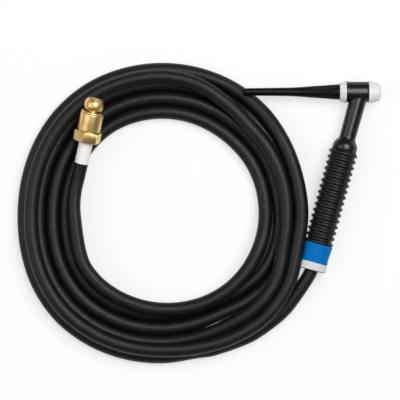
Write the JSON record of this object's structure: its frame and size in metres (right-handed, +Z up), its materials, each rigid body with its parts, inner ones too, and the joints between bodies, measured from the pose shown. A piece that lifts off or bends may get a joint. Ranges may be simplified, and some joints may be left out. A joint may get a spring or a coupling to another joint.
{
  "type": "tig torch",
  "caption": "Air-cooled TIG welding torch: rigid head with long unscrewing back cap, ribbed handle, coiled hose and swivelling brass ball-nipple connector.",
  "frame": {"origin": "on the floor plane, under the middle of the torch without its hose", "axes": "+Z up from the floor; the handle lies along Y and the head along X, with the back cap towards -X; the hose coil lies on the -X side"},
  "size_m": [0.3626, 0.2986, 0.0478],
  "materials": {
    "head_moulding": "glossy black moulded insulation",
    "turned_brass": "turned",
    "white_insulator": "smooth white fluoropolymer",
    "cap_moulding": "deep black moulded",
    "seal_rubber": "smooth",
    "handle_moulding": "black, ribbed",
    "handle_sleeve": "printed sleeve, blue above white, bare",
    "hose_rubber": "satin black",
    "label_white": "white shrink sleeve, bare",
    "connector_brass": "bright turned"
  },
  "bodies": {
    "torch_and_hose": {"head_insulation": "head_moulding", "head_core": "turned_brass", "neck_tube": "turned_brass", "rear_collar": "white_insulator", "handle": "handle_moulding", "handle_label": "handle_sleeve", "torch_cable_nut": "turned_brass", "torch_nipple": "turned_brass", "torch_crimp_ferrule": "turned_brass", "hose_lead": "hose_rubber", "hose_coil": "hose_rubber", "hose_tail": "hose_rubber", "hose_label": "label_white", "connector_crimp_ferrule": "turned_brass", "ball_nipple": "connector_brass"},
    "insulator": {"front_insulator": "white_insulator"},
    "cap_carrier": {"cap_seal": "seal_rubber"},
    "cap": {"back_cap": "cap_moulding", "cap_thread_insert": "turned_brass"},
    "swivel_nut": {"connector_nut": "connector_brass"}
  },
  "joints": [
    {"name": "insulator_pull", "type": "slide", "parent": "torch_and_hose", "child": "insulator", "axis": [0.9987, 0.0003, -0.0505], "range_m": [0, 0.012]},
    {"name": "cap_travel", "type": "slide", "parent": "torch_and_hose", "child": "cap_carrier", "axis": [-0.9987, -0.0003, 0.0505], "range_m": [0, 0.009]},
    {"name": "cap_turn", "type": "hinge", "parent": "cap_carrier", "child": "cap", "pos_m": [0.02773, 0.08535, 0.01546], "axis": [-0.9987, -0.0003, 0.0505], "range_deg": [0, 3240]},
    {"name": "nut_swivel", "type": "hinge", "parent": "torch_and_hose", "child": "swivel_nut", "pos_m": [-0.22219, 0.05067, 0.0334], "axis": [0.2134, 0.9546, 0.2079], "continuous": true}
  ],
  "couplings": [
    {"joint": "cap_turn", "follows": "cap_travel", "rad_per_m": 6283.2}
  ]
}
